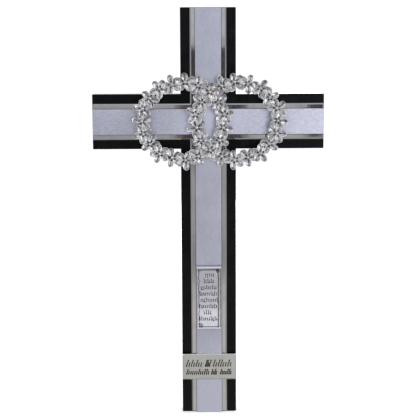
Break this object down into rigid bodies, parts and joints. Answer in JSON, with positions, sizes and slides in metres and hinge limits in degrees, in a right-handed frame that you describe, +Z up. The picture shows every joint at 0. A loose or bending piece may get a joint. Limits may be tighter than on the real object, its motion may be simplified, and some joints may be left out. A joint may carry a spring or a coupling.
{
  "type": "wedding cross",
  "caption": "Wall-hung cross: black lacquered board faced with polished and satin metal crosses, a linked flower wreath, a scroll plaque and a name plate.",
  "frame": {"origin": "on the flat back of the board, behind the centre of the crossing, where it lies against the wall", "axes": "+Z up along the upright, +X to the right seen from the front, +Y out of the back into the wall; the front looks towards -Y"},
  "size_m": [0.224, 0.0284, 0.4],
  "materials": {
    "black_lacquer": "black lacquer, satin gloss",
    "mirror_metal": "mirror polished",
    "satin_metal": "satin brushed, cool lavender grey",
    "antique_silver": "cast, antiqued silver with dark hollows",
    "engraved_metal": "fine satin with dark engraving"
  },
  "bodies": {
    "root": {"backing_board": "black_lacquer", "polished_plate": "mirror_metal", "satin_panel": "satin_metal", "flower_wreath": "antique_silver", "verse_plaque": "antique_silver", "name_plate": "engraved_metal"}
  },
  "joints": []
}
